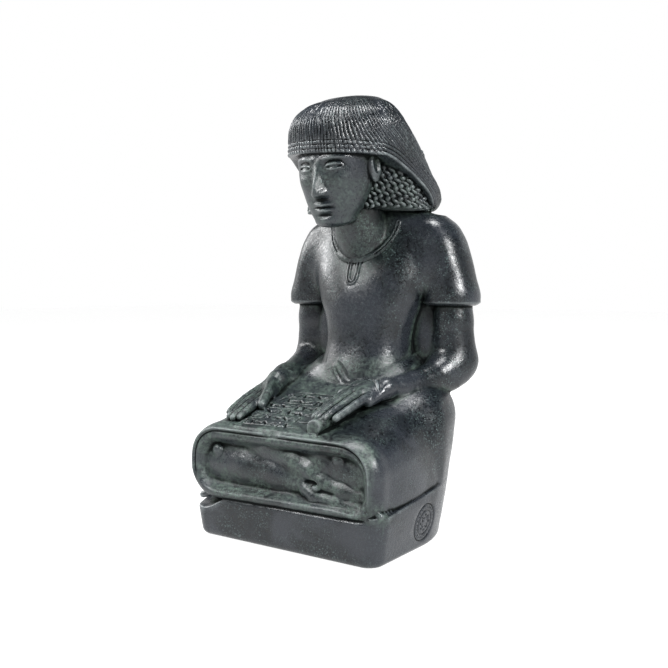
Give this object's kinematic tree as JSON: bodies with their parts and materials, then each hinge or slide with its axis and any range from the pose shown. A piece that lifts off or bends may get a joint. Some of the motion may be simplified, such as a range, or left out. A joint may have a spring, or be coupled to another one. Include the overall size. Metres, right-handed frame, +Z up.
{
  "type": "seated scribe statuette",
  "caption": "Dark patinated cast of a cross-legged scribe in a long layered wig, reading a papyrus on the lap, on a low half-round plinth",
  "frame": {"origin": "middle of the bounding box at the plinth's underside, on the surface that it stands on", "axes": "+Z up, the scribe looks along -Y, +X is the scribe's left; the lower body and the plinth lie a little towards -X"},
  "size_m": [0.0862, 0.0794, 0.1653],
  "materials": {
    "patinated_cast": "filled cast with a hand-rubbed bronze-like patina: blue-black to grey satin on the high places, fine pale speckle, light green left in the hollows"
  },
  "bodies": {
    "root": {"statuette": "patinated_cast"}
  },
  "joints": []
}
